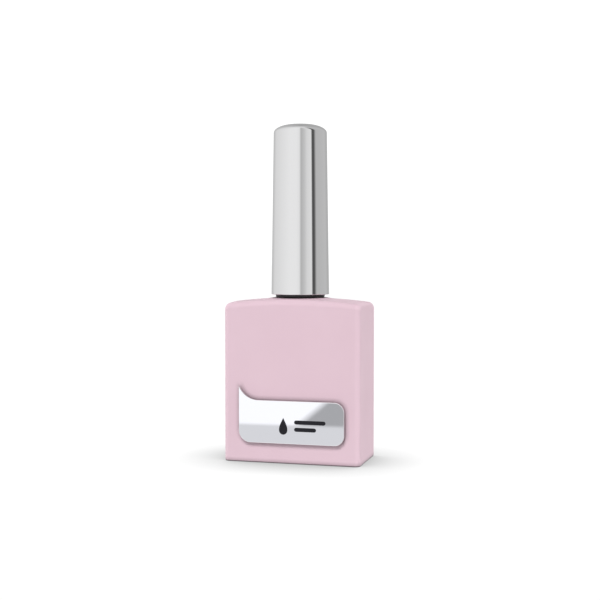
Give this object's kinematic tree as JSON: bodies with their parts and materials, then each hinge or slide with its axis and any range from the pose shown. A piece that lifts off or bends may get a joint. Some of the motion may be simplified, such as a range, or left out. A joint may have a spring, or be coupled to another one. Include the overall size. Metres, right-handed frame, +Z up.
{
  "type": "nail polish bottle",
  "caption": "Rectangular coated glass nail polish bottle with a tall round screw cap that carries a brush down its neck, and a small mirror-finish plate on the front.",
  "frame": {"origin": "centre of the base, on the surface that the bottle stands on", "axes": "+Z up through the neck, which is also the axis of the cap, thread and brush; -Y towards the viewer of the front face, where the plate is; +X to that viewer's right"},
  "size_m": [0.035, 0.0189, 0.0847],
  "materials": {
    "pink_coating": "satin",
    "label_paper": "matte",
    "adhesive_film": "satin",
    "plate_metal": "polished",
    "cap_metal": "polished",
    "black_plastic": "satin",
    "gasket_foam": "matte",
    "stem_plastic": "satin",
    "bristle_nylon": "satin",
    "staple_metal": "satin"
  },
  "bodies": {
    "bottle": {"glass_bottle": "pink_coating", "base_label": "label_paper", "emblem_adhesive": "adhesive_film", "emblem_plate": "plate_metal"},
    "gasket": {"seal_gasket": "gasket_foam"},
    "brush": {"brush_stem": "stem_plastic", "bristle_tuft": "bristle_nylon", "tuft_staple": "staple_metal"},
    "cap": {"outer_cap": "cap_metal", "inner_cap": "black_plastic"}
  },
  "joints": [
    {"name": "cap_lift", "type": "slide", "parent": "bottle", "child": "gasket", "axis": [0, 0, 1], "range_m": [0, 0.05]},
    {"name": "thread_rise", "type": "slide", "parent": "gasket", "child": "brush", "axis": [0, 0, 1], "range_m": [0, 0.0032]},
    {"name": "cap_turn", "type": "hinge", "parent": "brush", "child": "cap", "pos_m": [0, 0, 0.05], "axis": [0, 0, 1], "range_deg": [0, 540]}
  ],
  "couplings": [
    {"joint": "thread_rise", "follows": "cap_turn", "m_per_rad": 0.00033423}
  ]
}
